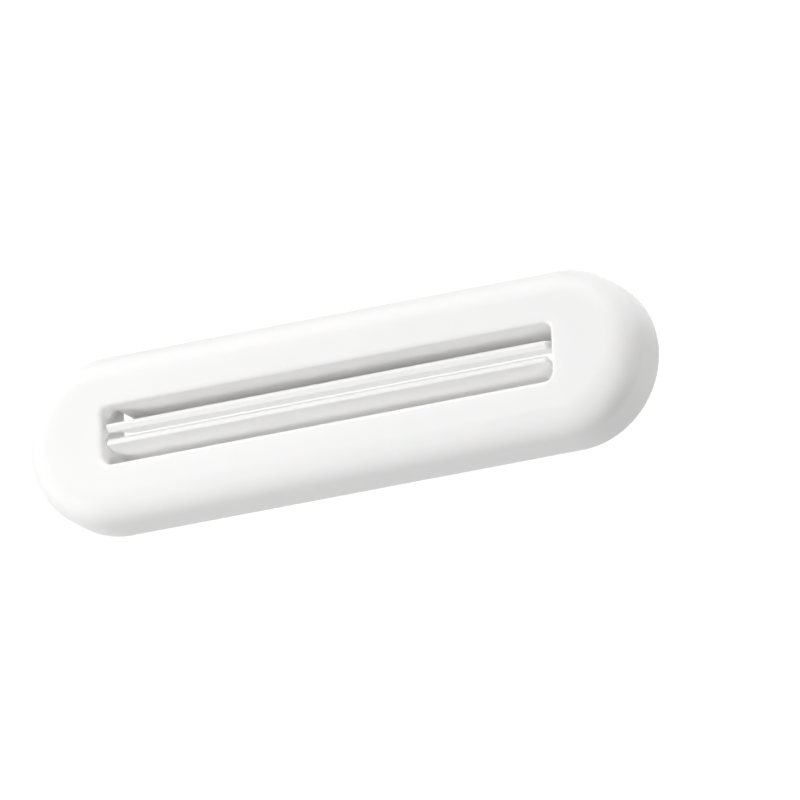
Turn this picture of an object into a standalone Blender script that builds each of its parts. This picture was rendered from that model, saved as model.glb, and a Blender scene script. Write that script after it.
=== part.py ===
"""Toothpaste tube squeezer: a flat capsule with two leaning lips in a window.

The squeezer lies on its back. X runs along its length, Y across its width, and +Z points out
of its front face. The origin is the middle of the rear face. All sizes are in metres.
"""
import math

import bmesh
import bpy
from mathutils import Vector

# Outer form
LENGTH = 0.0890
WIDTH = 0.0230
THICKNESS = 0.0090
FRONT_EDGE_RADIUS = 0.0038
REAR_EDGE_RADIUS = 0.0011

# Front shell
SIDE_WALL = 0.0016
FACE_WALL = 0.0018
COVER_LEDGE = 0.0006
CAVITY_EDGE_RADIUS = 0.0016
WINDOW_HEIGHT = 0.0079
WINDOW_CORNER_RADIUS = 0.0012
WINDOW_LIP_RADIUS = 0.00068
WINDOW_RETURN = 0.0027
COLLAR_WALL = 0.0014
END_WALL = 0.0012
END_WALL_REACH = 0.0070
END_WALL_LAP = 0.0006
END_GAP = 0.0008

# Bosses in the shell and the pins that go into them
BOSS_RADIUS = 0.0016
BOSS_INTO_WALL = 0.0002
BOSS_SETBACK = 0.0002
BOSS_ROOF = 0.0008
SIDE_BOSS_SPREAD = 0.0400
END_BOSS_SPREAD = 0.0768
PIN_RADIUS = 0.0008
PIN_HEIGHT = 0.0030
PIN_CHAMFER = 0.0003

# Rear cover
COVER_THICKNESS = 0.0016
COVER_CHAMFER = 0.0002
POCKET_FLOOR = 0.0009
RIB_STEP_BACK = 0.00035
RIB_THICKNESS = 0.0010
RIB_TOP_RADIUS = 0.0002
MOUTH_CLEARANCE = 0.00015
MOUTH_CHAMFER = 0.0002
MOUTH_CORNER_RADIUS = 0.0003
SLOT_CLEARANCE = 0.0002
SLOT_MARGIN = 0.0006
SLOT_CORNER_RADIUS = 0.0008

# Squeezing lips
LIP_LENGTH = 0.0640
SLIT_WIDTH = 0.00087
NOSE_DROP = 0.0001
NOSE_FLAT = 0.00047
NOSE_RADIUS = 0.00022
LEAD_IN_WIDTH = 0.00052
LEAD_IN_DEPTH = 0.00057
LEAD_IN_RADIUS = 0.00010
LIP_END_RADIUS = 0.00015
LIP_LEAN = math.radians(14.5)
LIP_TAPER = math.radians(2.0)
ROOT_HEIGHT = 0.00075

# Clearance between pieces that touch, and how far a cutter runs past a surface
FIT_GAP = 0.0003
OVERSHOOT = 0.0010

# Facets
END_SEGMENTS = 22
CORNER_SEGMENTS = 6
ROUND_SEGMENTS = 6
FRONT_FILLET_SEGMENTS = 12
SMALL_FILLET_SEGMENTS = 5

# Heights and places that follow from the sizes above
WINDOW_LENGTH = LIP_LENGTH + 2 * END_GAP
COLLAR_BOTTOM = THICKNESS - WINDOW_RETURN
CAVITY_ROOF = THICKNESS - FACE_WALL
FACE_MIDDLE = THICKNESS - FACE_WALL / 2
CAVITY_INSET = SIDE_WALL + COVER_LEDGE
LEDGE_HEIGHT = COVER_THICKNESS + FIT_GAP
RIB_INNER = WINDOW_HEIGHT / 2 + RIB_STEP_BACK
RIB_TOP = COLLAR_BOTTOM - FIT_GAP
SLOT_INNER = LIP_LENGTH / 2
SLOT_OUTER = WINDOW_LENGTH / 2 + END_WALL + SLOT_CLEARANCE
SLOT_MIDDLE = (SLOT_INNER + SLOT_OUTER) / 2
SLOT_HALF_HEIGHT = RIB_INNER + RIB_THICKNESS + SLOT_MARGIN
NOSE_HEIGHT = THICKNESS - NOSE_DROP
INNER_EDGE = SLIT_WIDTH / 2
INNER_EDGE_HEIGHT = NOSE_HEIGHT - LEAD_IN_DEPTH
OUTER_EDGE = INNER_EDGE + LEAD_IN_WIDTH + NOSE_FLAT
OUTER_LEAN = LIP_LEAN - LIP_TAPER


def root_place():
    """Offset of a lip's root axis from the middle plane, and the radius of its round root."""
    inner = INNER_EDGE + (INNER_EDGE_HEIGHT - ROOT_HEIGHT) * math.tan(LIP_LEAN)
    outer = OUTER_EDGE + (NOSE_HEIGHT - ROOT_HEIGHT) * math.tan(OUTER_LEAN)
    inner_share = math.cos(LIP_LEAN)
    outer_share = math.cos(OUTER_LEAN)
    offset = (inner * inner_share + outer * outer_share) / (inner_share + outer_share)
    return offset, (offset - inner) * inner_share


ROOT_OFFSET, ROOT_RADIUS = root_place()
MOUTH_HALF_HEIGHT = ROOT_OFFSET + ROOT_RADIUS + MOUTH_CLEARANCE


def clear_scene():
    for obj in list(bpy.data.objects):
        bpy.data.objects.remove(obj, do_unlink=True)
    for collection in list(bpy.data.collections):
        bpy.data.collections.remove(collection)


def new_collection(name):
    collection = bpy.data.collections.new(name)
    bpy.context.scene.collection.children.link(collection)
    return collection


def plastic(name, colour, roughness):
    """Moulded plastic as a Principled BSDF."""
    material = bpy.data.materials.new(name)
    material.use_nodes = True
    shader = material.node_tree.nodes["Principled BSDF"]
    shader.inputs["Base Color"].default_value = (*colour, 1.0)
    shader.inputs["Roughness"].default_value = roughness
    shader.inputs["Metallic"].default_value = 0.0
    return material


def finished(name, bm, collection):
    bmesh.ops.recalc_face_normals(bm, faces=bm.faces)
    mesh = bpy.data.meshes.new(name)
    bm.to_mesh(mesh)
    bm.free()
    obj = bpy.data.objects.new(name, mesh)
    collection.objects.link(obj)
    return obj


def rounded_outline(centre, half_x, half_y, corner, segments):
    """Points round a rectangle with round corners, anticlockwise."""
    points = []
    for quarter, (sign_x, sign_y) in enumerate(((1, 1), (-1, 1), (-1, -1), (1, -1))):
        corner_x = centre[0] + sign_x * (half_x - corner)
        corner_y = centre[1] + sign_y * (half_y - corner)
        for step in range(segments + 1):
            angle = (quarter + step / segments) * math.pi / 2
            point = Vector((corner_x + corner * math.cos(angle), corner_y + corner * math.sin(angle)))
            if not points or (point - points[-1]).length > 1e-7:
                points.append(point)
    if (points[0] - points[-1]).length < 1e-7:
        points.pop()
    return points


def quarter_round(radius, face_height, towards, outwards, segments):
    """Profile steps (outset, height) from a flat face round a quarter circle to a side wall."""
    steps = []
    for step in range(segments + 1):
        angle = step / segments * math.pi / 2
        outset = outwards * radius * (1 - math.sin(angle))
        height = face_height + towards * radius * (1 - math.cos(angle))
        steps.append((outset, height))
    return steps


def lofted(name, centre, half_x, half_y, corner, profile, segments, collection):
    """A closed body through one outline, moved in or out by the profile's step at each height."""
    bm = bmesh.new()
    rings = []
    for outset, height in profile:
        outline = rounded_outline(centre, half_x + outset, half_y + outset, corner + outset, segments)
        rings.append([bm.verts.new((point.x, point.y, height)) for point in outline])
    for lower, upper in zip(rings, rings[1:]):
        for i in range(len(lower)):
            bm.faces.new((lower[i - 1], lower[i], upper[i], upper[i - 1]))
    bm.faces.new(rings[0])
    bm.faces.new(rings[-1])
    return finished(name, bm, collection)


def round_body(name, centre, radius, profile, collection):
    """A turned body: a lofted outline that is a circle."""
    return lofted(name, centre, radius, radius, radius, profile, ROUND_SEGMENTS, collection)


def arc_reach(points, index, radius):
    """How far along its two edges a corner is cut back by an arc of this radius."""
    here = Vector(points[index])
    before = Vector(points[index - 1]) - here
    after = Vector(points[(index + 1) % len(points)]) - here
    return radius / math.tan(before.angle(after) / 2)


def profile_bar(name, points, rounds, length, collection):
    """A profile in the YZ plane with its listed corners rounded, drawn out along X."""
    bm = bmesh.new()
    verts = [bm.verts.new((-length / 2, y, z)) for y, z in points]
    bm.faces.new(verts)
    for index, radius, segments in rounds:
        bmesh.ops.bevel(bm, geom=[verts[index]], offset=arc_reach(points, index, radius),
                        segments=segments, profile=0.5, affect='VERTICES')
    drawn = bmesh.ops.extrude_face_region(bm, geom=list(bm.faces))
    far_end = [item for item in drawn["geom"] if isinstance(item, bmesh.types.BMVert)]
    bmesh.ops.translate(bm, verts=far_end, vec=(length, 0, 0))
    return finished(name, bm, collection)


def box(name, low, high, collection):
    """A block between two opposite corners."""
    bm = bmesh.new()
    bmesh.ops.create_cube(bm, size=1.0)
    for vert in bm.verts:
        vert.co = Vector([low[i] + (vert.co[i] + 0.5) * (high[i] - low[i]) for i in range(3)])
    return finished(name, bm, collection)


def boolean(target, operation, tool):
    tool.hide_render = True
    tool.display_type = 'WIRE'
    modifier = target.modifiers.new(tool.name, 'BOOLEAN')
    modifier.operation = operation
    modifier.solver = 'EXACT'
    modifier.object = tool


def shade(obj, material):
    obj.data.materials.append(material)
    obj.data.shade_smooth()
    obj.data.set_sharp_from_angle(angle=math.radians(30))


def boss_places():
    """Centres of the two end bosses and the four side bosses."""
    side_y = WIDTH / 2 - CAVITY_INSET - BOSS_RADIUS + BOSS_INTO_WALL
    places = [(sign * END_BOSS_SPREAD / 2, 0.0) for sign in (-1, 1)]
    places += [(sign_x * SIDE_BOSS_SPREAD / 2, sign_y * side_y) for sign_x in (-1, 1) for sign_y in (-1, 1)]
    return places


def stadium(name, profile, parts):
    """A body lofted through the squeezer's own outline."""
    return lofted(name, (0, 0), LENGTH / 2, WIDTH / 2, WIDTH / 2, profile, END_SEGMENTS, parts)


def shell_profile():
    """From the cavity's roof down its wall and round the rim, then up the outside to the front face."""
    cavity_edge = quarter_round(CAVITY_EDGE_RADIUS, CAVITY_ROOF, -1, -1, SMALL_FILLET_SEGMENTS)
    steps = [(outset - CAVITY_INSET, height) for outset, height in cavity_edge]
    steps += [(-CAVITY_INSET, LEDGE_HEIGHT), (-SIDE_WALL, LEDGE_HEIGHT), (-SIDE_WALL, 0.0)]
    steps += quarter_round(REAR_EDGE_RADIUS, 0.0, 1, -1, SMALL_FILLET_SEGMENTS)
    steps += quarter_round(FRONT_EDGE_RADIUS, THICKNESS, -1, -1, FRONT_FILLET_SEGMENTS)[::-1]
    return steps


def make_front_shell(parts, cutters, material):
    """Hollow capsule with the window, its collar, two end walls and six bosses."""
    shell = stadium("front_shell", shell_profile(), parts)
    collar = lofted("window_collar", (0, 0), WINDOW_LENGTH / 2 + COLLAR_WALL, WINDOW_HEIGHT / 2 + COLLAR_WALL,
                    WINDOW_CORNER_RADIUS + COLLAR_WALL, [(0.0, COLLAR_BOTTOM), (0.0, FACE_MIDDLE)],
                    CORNER_SEGMENTS, cutters)
    boolean(shell, 'UNION', collar)
    for side, sign in (("left", -1), ("right", 1)):
        near, far = sorted((sign * WINDOW_LENGTH / 2, sign * (WINDOW_LENGTH / 2 + END_WALL)))
        half = SLOT_HALF_HEIGHT + END_WALL_LAP
        wall = box(side + "_end_wall", (near, -half, THICKNESS - END_WALL_REACH), (far, half, FACE_MIDDLE), cutters)
        boolean(shell, 'UNION', wall)
    for number, place in enumerate(boss_places(), start=1):
        height = [(0.0, LEDGE_HEIGHT + BOSS_SETBACK), (0.0, FACE_MIDDLE)]
        boss = round_body(f"boss_{number}", place, BOSS_RADIUS, height, cutters)
        boolean(shell, 'UNION', boss)

    rolled_edge = quarter_round(WINDOW_LIP_RADIUS, THICKNESS, -1, 1, SMALL_FILLET_SEGMENTS)
    opening = [(0.0, COLLAR_BOTTOM - OVERSHOOT)] + rolled_edge[::-1] + [(WINDOW_LIP_RADIUS, THICKNESS + OVERSHOOT)]
    window = lofted("window_cutter", (0, 0), WINDOW_LENGTH / 2, WINDOW_HEIGHT / 2, WINDOW_CORNER_RADIUS, opening,
                    CORNER_SEGMENTS, cutters)
    boolean(shell, 'DIFFERENCE', window)
    for number, place in enumerate(boss_places(), start=1):
        depth = [(0.0, LEDGE_HEIGHT), (0.0, CAVITY_ROOF - BOSS_ROOF)]
        bore = round_body(f"bore_cutter_{number}", place, PIN_RADIUS + FIT_GAP, depth, cutters)
        boolean(shell, 'DIFFERENCE', bore)
    shade(shell, material)


def make_rear_cover(parts, cutters, material):
    """Flat plate with the mouth, a rib behind each lip, a seat for each root, and six pins."""
    inset = SIDE_WALL + FIT_GAP
    rim = [(-inset - COVER_CHAMFER, 0.0), (-inset, COVER_CHAMFER), (-inset, COVER_THICKNESS)]
    cover = stadium("rear_cover", rim, parts)
    plate_middle = COVER_THICKNESS / 2

    for side, sign in (("upper", 1), ("lower", -1)):
        near = sign * RIB_INNER
        far = sign * (RIB_INNER + RIB_THICKNESS)
        outline = [(near, plate_middle), (far, plate_middle), (far, RIB_TOP), (near, RIB_TOP)]
        rounds = [(2, RIB_TOP_RADIUS, 2), (3, RIB_TOP_RADIUS, 2)]
        rib = profile_bar(side + "_rib", outline, rounds, 2 * SLOT_MIDDLE, cutters)
        boolean(cover, 'UNION', rib)
    for number, place in enumerate(boss_places(), start=1):
        top = COVER_THICKNESS + PIN_HEIGHT
        profile = [(0.0, plate_middle), (0.0, top - PIN_CHAMFER), (-PIN_CHAMFER, top)]
        pin = round_body(f"pin_{number}", place, PIN_RADIUS, profile, cutters)
        boolean(cover, 'UNION', pin)

    pocket = box("pocket_cutter", (-SLOT_MIDDLE, -RIB_INNER, POCKET_FLOOR), (SLOT_MIDDLE, RIB_INNER, COLLAR_BOTTOM),
                 cutters)
    boolean(cover, 'DIFFERENCE', pocket)
    mouth_profile = [(MOUTH_CHAMFER + OVERSHOOT, -OVERSHOOT), (0.0, MOUTH_CHAMFER), (0.0, COVER_THICKNESS + OVERSHOOT)]
    mouth = lofted("mouth_cutter", (0, 0), SLOT_MIDDLE, MOUTH_HALF_HEIGHT, MOUTH_CORNER_RADIUS, mouth_profile,
                   CORNER_SEGMENTS, cutters)
    boolean(cover, 'DIFFERENCE', mouth)
    for side, sign in (("left", -1), ("right", 1)):
        slot = lofted(side + "_slot_cutter", (sign * SLOT_MIDDLE, 0), (SLOT_OUTER - SLOT_INNER) / 2, SLOT_HALF_HEIGHT,
                      SLOT_CORNER_RADIUS, [(0.0, -OVERSHOOT), (0.0, RIB_TOP + OVERSHOOT)], CORNER_SEGMENTS, cutters)
        boolean(cover, 'DIFFERENCE', slot)
    for side, sign in (("upper", 1), ("lower", -1)):
        ring = round_root((sign * ROOT_OFFSET, ROOT_HEIGHT), ROOT_RADIUS + FIT_GAP, 0.0, 2 * math.pi)
        seat = profile_bar(side + "_seat_cutter", ring[:-1], [], 2 * SLOT_MIDDLE, cutters)
        boolean(cover, 'DIFFERENCE', seat)
    shade(cover, material)


def round_root(centre, radius, start, end):
    """Points on an arc in the YZ plane."""
    count = 4 * ROUND_SEGMENTS if end - start > 1.5 * math.pi else 2 * ROUND_SEGMENTS
    angles = [start + (end - start) * step / count for step in range(count + 1)]
    return [(centre[0] + radius * math.cos(angle), centre[1] + radius * math.sin(angle)) for angle in angles]


def make_lip(name, sign, parts, material):
    """One squeezing lip that leans in to the slit. Its origin is on its root axis."""
    corners = [(OUTER_EDGE, NOSE_HEIGHT), (INNER_EDGE + LEAD_IN_WIDTH, NOSE_HEIGHT), (INNER_EDGE, INNER_EDGE_HEIGHT)]
    outline = [(y - ROOT_OFFSET, z - ROOT_HEIGHT) for y, z in corners]
    outline += round_root((0.0, 0.0), ROOT_RADIUS, math.pi + LIP_LEAN, 2 * math.pi + OUTER_LEAN)
    outline = [(sign * y, z) for y, z in outline]
    rounds = [(0, NOSE_RADIUS, SMALL_FILLET_SEGMENTS), (1, LEAD_IN_RADIUS, 2), (2, LEAD_IN_RADIUS, 2)]
    lip = profile_bar(name, outline, rounds, LIP_LENGTH, parts)
    lip.location = (0.0, sign * ROOT_OFFSET, ROOT_HEIGHT)
    end_edges = lip.modifiers.new("end_edges", 'BEVEL')
    end_edges.limit_method = 'ANGLE'
    end_edges.angle_limit = math.radians(60)
    end_edges.width = LIP_END_RADIUS
    end_edges.segments = 2
    shade(lip, material)


def build():
    clear_scene()
    parts = new_collection("toothpaste_tube_squeezer")
    cutters = new_collection("cutters")
    make_front_shell(parts, cutters, plastic("white_shell_plastic", (0.86, 0.86, 0.85), 0.42))
    make_rear_cover(parts, cutters, plastic("white_cover_plastic", (0.86, 0.86, 0.85), 0.45))
    make_lip("upper_lip", 1, parts, plastic("white_upper_lip_plastic", (0.86, 0.86, 0.85), 0.38))
    make_lip("lower_lip", -1, parts, plastic("white_lower_lip_plastic", (0.86, 0.86, 0.85), 0.38))


build()
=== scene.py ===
import math

import bmesh
import bpy
from mathutils import Euler, Matrix, Vector


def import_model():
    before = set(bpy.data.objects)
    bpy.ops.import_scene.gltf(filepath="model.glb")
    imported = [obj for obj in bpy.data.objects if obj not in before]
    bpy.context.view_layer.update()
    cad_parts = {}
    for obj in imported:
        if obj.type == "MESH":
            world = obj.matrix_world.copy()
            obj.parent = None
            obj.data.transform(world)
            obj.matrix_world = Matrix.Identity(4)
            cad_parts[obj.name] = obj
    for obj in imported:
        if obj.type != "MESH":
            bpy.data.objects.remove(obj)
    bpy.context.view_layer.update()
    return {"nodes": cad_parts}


# Camera, as the photograph shows the squeezer, in radians and metres, with lens and sensor in millimetres
TURN = 0.46064
TILT = 0.30257
ROLL = 0.04195
AIM_RIGHT = 0.0017876
AIM_UP = 0.0000475
CAMERA_DISTANCE = 4.3317
NEAREST_SEEN = 0.5
FARTHEST_SEEN = 20.0
LENS = 1500.8
SENSOR_WIDTH = 36.0
MIDDLE = Vector((0.0, 0.0, 0.0045))

# Plastic: its white, the light inside the surface, the mottling and the moulded grain
WHITE = (0.93, 0.928, 0.922, 1.0)
INNER_LIGHT = 0.6
INNER_LIGHT_REACH = 0.0012
MOTTLE_SCALE = 90.0
MOTTLE_LOW = 0.3
MOTTLE_HIGH = 0.7
MOTTLE_TONE = 0.985
GLOSS_SWING = 0.03
GRAIN_SCALE = 5200.0
GRAIN_HEIGHT = 0.00002

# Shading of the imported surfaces
WELD_DISTANCE = 0.000001
SHARP_ANGLE = math.radians(32)
FACE_WEIGHT = 80

# Lamps: azimuth from +X and elevation in degrees, distance and diameter in metres, and power in watts
LAMPS = {
    "key_lamp": (210, 46, 0.45, 0.10, 1.07),
    "fill_lamp": (330, 38, 0.80, 0.12, 2.06),
    "back_lamp": (90, 70, 0.80, 0.12, 2.04),
    "upper_rim_lamp": (90, 7, 0.80, 0.16, 3.00),
    "left_rim_lamp": (180, 7, 0.80, 0.16, 1.93),
    "right_rim_lamp": (45, 7, 0.80, 0.16, 1.04),
    "right_side_lamp": (0, 7, 0.80, 0.16, 0.50),
    "low_lamp": (270, -35, 0.30, 0.25, 0.21),
}
DIFFUSE_BOUNCES = 12
MAX_BOUNCES = 16

# Floor, well below the squeezer so that light comes up through the slit
FLOOR_DROP = 0.32
FLOOR_REACH = 3.0
FLOOR_WHITE = 0.85
FLOOR_GLOW = 1.12
GLOW_SHARE = 0.90


def white_plastic(name, roughness, grain):
    """Moulded white plastic: faint mottling, a fine moulded grain and a soft gloss that varies."""
    material = bpy.data.materials.new(name)
    material.use_nodes = True
    nodes = material.node_tree.nodes
    links = material.node_tree.links
    shader = nodes["Principled BSDF"]
    shader.inputs["Metallic"].default_value = 0.0
    shader.inputs["IOR"].default_value = 1.49
    shader.inputs["Subsurface Weight"].default_value = INNER_LIGHT
    shader.inputs["Subsurface Radius"].default_value = (1.0, 0.95, 0.9)
    shader.inputs["Subsurface Scale"].default_value = INNER_LIGHT_REACH

    place = nodes.new("ShaderNodeTexCoord")
    mottle = nodes.new("ShaderNodeTexNoise")
    mottle.inputs["Scale"].default_value = MOTTLE_SCALE
    mottle.inputs["Detail"].default_value = 3.0
    mottle.inputs["Roughness"].default_value = 0.55
    links.new(place.outputs["Object"], mottle.inputs["Vector"])

    colour = nodes.new("ShaderNodeValToRGB")
    darker, lighter = colour.color_ramp.elements
    darker.position = MOTTLE_LOW
    darker.color = (*(channel * MOTTLE_TONE for channel in WHITE[:3]), 1.0)
    lighter.position = MOTTLE_HIGH
    lighter.color = WHITE
    links.new(mottle.outputs["Fac"], colour.inputs["Fac"])
    links.new(colour.outputs["Color"], shader.inputs["Base Color"])

    gloss = nodes.new("ShaderNodeMapRange")
    gloss.inputs["From Min"].default_value = MOTTLE_LOW
    gloss.inputs["From Max"].default_value = MOTTLE_HIGH
    gloss.inputs["To Min"].default_value = roughness - GLOSS_SWING
    gloss.inputs["To Max"].default_value = roughness + GLOSS_SWING
    links.new(mottle.outputs["Fac"], gloss.inputs["Value"])
    links.new(gloss.outputs["Result"], shader.inputs["Roughness"])

    fine = nodes.new("ShaderNodeTexNoise")
    fine.inputs["Scale"].default_value = GRAIN_SCALE
    fine.inputs["Detail"].default_value = 2.0
    links.new(place.outputs["Object"], fine.inputs["Vector"])
    bump = nodes.new("ShaderNodeBump")
    bump.inputs["Strength"].default_value = grain
    bump.inputs["Distance"].default_value = GRAIN_HEIGHT
    links.new(fine.outputs["Fac"], bump.inputs["Height"])
    links.new(bump.outputs["Normal"], shader.inputs["Normal"])
    return material


def soften_shading(node):
    """Smooth normals on the round forms and crisp ones at the real edges, with the vertices as packed."""
    mesh = node.data
    if "custom_normal" in mesh.attributes:
        mesh.attributes.remove(mesh.attributes["custom_normal"])
    mesh.shade_smooth()
    weld = node.modifiers.new("weld", 'WELD')
    weld.merge_threshold = WELD_DISTANCE
    split = node.modifiers.new("crisp_edges", 'EDGE_SPLIT')
    split.split_angle = SHARP_ANGLE
    split.use_edge_sharp = False
    level = node.modifiers.new("level_faces", 'WEIGHTED_NORMAL')
    level.mode = 'FACE_AREA'
    level.weight = FACE_WEIGHT


def dress(node, material):
    node.data.materials.clear()
    node.data.materials.append(material)
    soften_shading(node)


def seen_directly(nodes, links):
    """1 for camera, glossy and transmission rays, and 0 for the rest."""
    path = nodes.new("ShaderNodeLightPath")
    total = path.outputs["Is Camera Ray"]
    for name in ("Is Glossy Ray", "Is Transmission Ray"):
        either = nodes.new("ShaderNodeMath")
        either.operation = 'MAXIMUM'
        links.new(total, either.inputs[0])
        links.new(path.outputs[name], either.inputs[1])
        total = either.outputs["Value"]
    return total


def floor_material():
    """White floor: seen directly it glows white, with a small share of its own shading and shadow."""
    material = bpy.data.materials.new("studio_floor")
    material.use_nodes = True
    nodes = material.node_tree.nodes
    links = material.node_tree.links
    nodes.remove(nodes["Principled BSDF"])
    paper = nodes.new("ShaderNodeBsdfDiffuse")
    paper.inputs["Color"].default_value = (FLOOR_WHITE, FLOOR_WHITE, FLOOR_WHITE, 1.0)
    glow = nodes.new("ShaderNodeEmission")
    glow.inputs["Strength"].default_value = FLOOR_GLOW
    share = nodes.new("ShaderNodeMath")
    share.operation = 'MULTIPLY'
    share.inputs[1].default_value = GLOW_SHARE
    links.new(seen_directly(nodes, links), share.inputs[0])
    mix = nodes.new("ShaderNodeMixShader")
    links.new(share.outputs["Value"], mix.inputs["Fac"])
    links.new(paper.outputs["BSDF"], mix.inputs[1])
    links.new(glow.outputs["Emission"], mix.inputs[2])
    links.new(mix.outputs["Shader"], nodes["Material Output"].inputs["Surface"])
    return material


def make_floor():
    bm = bmesh.new()
    bmesh.ops.create_grid(bm, x_segments=1, y_segments=1, size=FLOOR_REACH)
    mesh = bpy.data.meshes.new("floor")
    bm.to_mesh(mesh)
    bm.free()
    floor = bpy.data.objects.new("floor", mesh)
    floor.location = (0.0, 0.0, -FLOOR_DROP)
    bpy.context.scene.collection.objects.link(floor)
    mesh.materials.append(floor_material())


def make_world():
    """White where it is seen directly; the lamps alone light the squeezer."""
    world = bpy.data.worlds.new("studio")
    bpy.context.scene.world = world
    world.use_nodes = True
    nodes = world.node_tree.nodes
    links = world.node_tree.links
    background = nodes["Background"]
    background.inputs["Color"].default_value = (1.0, 1.0, 1.0, 1.0)
    links.new(seen_directly(nodes, links), background.inputs["Strength"])


def make_lamps():
    """Round lamps that face the squeezer, and that neither the camera nor the gloss sees."""
    for name, (azimuth, elevation, distance, diameter, power) in LAMPS.items():
        light = bpy.data.lights.new(name, 'AREA')
        light.shape = 'DISK'
        light.size = diameter
        light.energy = power
        lamp = bpy.data.objects.new(name, light)
        turn = Euler((math.radians(90 - elevation), 0.0, math.radians(90 + azimuth)))
        lamp.location = MIDDLE + turn.to_matrix() @ Vector((0.0, 0.0, distance))
        lamp.rotation_euler = turn
        lamp.visible_camera = False
        lamp.visible_glossy = False
        bpy.context.scene.collection.objects.link(lamp)


def make_camera():
    data = bpy.data.cameras.new("camera")
    data.lens = LENS
    data.sensor_width = SENSOR_WIDTH
    data.clip_start = NEAREST_SEEN
    data.clip_end = FARTHEST_SEEN
    camera = bpy.data.objects.new("camera", data)
    facing = Matrix.Rotation(TURN, 3, 'Y') @ Matrix.Rotation(TILT, 3, 'X') @ Matrix.Rotation(-ROLL, 3, 'Z')
    aim = Matrix.Rotation(-AIM_RIGHT, 3, 'Y') @ Matrix.Rotation(AIM_UP, 3, 'X')
    camera.location = MIDDLE + facing @ Vector((0.0, 0.0, CAMERA_DISTANCE))
    camera.rotation_euler = (facing @ aim).to_euler()
    bpy.context.scene.collection.objects.link(camera)
    bpy.context.scene.camera = camera


def main():
    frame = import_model()
    nodes = frame["nodes"]
    dress(nodes["front_shell"], white_plastic("shell_white", roughness=0.42, grain=0.10))
    dress(nodes["rear_cover"], white_plastic("cover_white", roughness=0.46, grain=0.14))
    lip_plastic = white_plastic("lip_white", roughness=0.36, grain=0.08)
    dress(nodes["upper_lip"], lip_plastic)
    dress(nodes["lower_lip"], lip_plastic)
    make_camera()
    make_world()
    make_floor()
    make_lamps()
    scene = bpy.context.scene
    scene.view_settings.view_transform = 'Standard'
    scene.cycles.diffuse_bounces = DIFFUSE_BOUNCES
    scene.cycles.max_bounces = MAX_BOUNCES


main()
